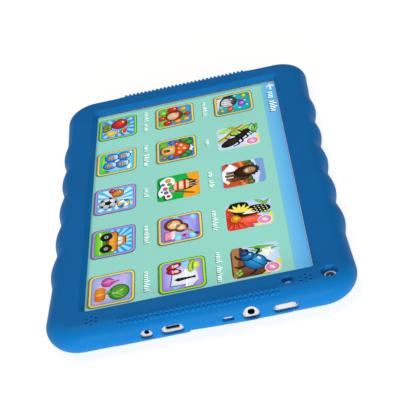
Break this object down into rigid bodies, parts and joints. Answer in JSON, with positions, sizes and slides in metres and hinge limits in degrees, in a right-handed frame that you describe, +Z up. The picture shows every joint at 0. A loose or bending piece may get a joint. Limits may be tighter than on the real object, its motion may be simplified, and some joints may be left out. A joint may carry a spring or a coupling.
{
  "type": "kids tablet",
  "caption": "Child's tablet computer in a soft bumper case with wavy sides and studded ends, with sockets, a sprung power key and a volume rocker on one end.",
  "frame": {"origin": "under the middle of the case, on the surface that it lies on", "axes": "+X along the screen's long side, towards the sockets; +Y towards the top of the screen's picture; +Z up, out of the glass"},
  "size_m": [0.2384, 0.159, 0.0163],
  "materials": {
    "silicone": "soft matte silicone, bright blue",
    "white_plastic": "fine satin moulding",
    "screen_glass": "clear and polished",
    "display": "picture of rounded icons on mint green",
    "clear_acrylic": "milky clear",
    "steel": "stamped and plated",
    "black_plastic": "fine matt moulding",
    "battery_pouch": "soft laminated foil",
    "circuit_board": "green solder mask",
    "flex_film": "amber polyimide film",
    "red_insulation": "smooth wire insulation",
    "adhesive_tape": "matt double-sided tape"
  },
  "bodies": {
    "tablet": {"silicone_case": "silicone", "rear_housing": "white_plastic", "front_bezel": "white_plastic", "battery_connector": "white_plastic", "touch_glass": "screen_glass", "rear_camera_window": "screen_glass", "lcd_panel": "display", "light_guide": "clear_acrylic", "led_light_pipe": "clear_acrylic", "charge_led": "clear_acrylic", "display_connector": "clear_acrylic", "touch_connector": "clear_acrylic", "backlight_tray": "steel", "processor_shield": "steel", "wifi_module": "steel", "microphone": "steel", "micro_usb_socket": "steel", "power_switch": "steel", "volume_up_switch": "steel", "volume_down_switch": "steel", "housing_screw_1": "steel", "housing_screw_2": "steel", "housing_screw_3": "steel", "housing_screw_4": "steel", "housing_screw_5": "steel", "housing_screw_6": "steel", "board_screw_1": "steel", "board_screw_2": "steel", "board_screw_3": "steel", "battery_lead_black": "black_plastic", "flash_chip": "black_plastic", "power_chip": "black_plastic", "headphone_jack": "black_plastic", "dc_power_jack": "black_plastic", "speaker_left": "black_plastic", "speaker_right": "black_plastic", "front_camera": "black_plastic", "rear_camera": "black_plastic", "antenna_lead": "black_plastic", "battery_pack": "battery_pouch", "battery_board": "circuit_board", "main_board": "circuit_board", "front_camera_flex": "flex_film", "rear_camera_flex": "flex_film", "wifi_antenna": "flex_film", "display_flex": "flex_film", "touch_flex": "flex_film", "battery_lead_red": "red_insulation", "speaker_lead_left": "red_insulation", "speaker_lead_right": "red_insulation", "battery_tape": "adhesive_tape"},
    "power_key": {"power_key": "white_plastic", "power_plunger": "black_plastic"},
    "volume_rocker": {"volume_rocker": "white_plastic"},
    "volume_up_plunger": {"volume_up_plunger": "black_plastic"},
    "volume_down_plunger": {"volume_down_plunger": "black_plastic"}
  },
  "joints": [
    {"name": "power_key_press", "type": "slide", "parent": "tablet", "child": "power_key", "axis": [-1, 0, 0], "range_m": [0, 0.0004], "stiffness_N_per_m": 1500},
    {"name": "volume_rocker_tilt", "type": "hinge", "parent": "tablet", "child": "volume_rocker", "pos_m": [0.1143, 0.0414, 0.00735], "axis": [0, 0, 1], "range_deg": [-2.2, 2.2], "stiffness_Nm_per_rad": 0.1},
    {"name": "volume_up_travel", "type": "slide", "parent": "tablet", "child": "volume_up_plunger", "axis": [-1, 0, 0], "range_m": [-0.00016, 0.00016]},
    {"name": "volume_down_travel", "type": "slide", "parent": "tablet", "child": "volume_down_plunger", "axis": [-1, 0, 0], "range_m": [-0.00016, 0.00016]}
  ],
  "couplings": [
    {"joint": "volume_up_travel", "follows": "volume_rocker_tilt", "m_per_rad": 0.004},
    {"joint": "volume_down_travel", "follows": "volume_rocker_tilt", "m_per_rad": -0.004}
  ]
}
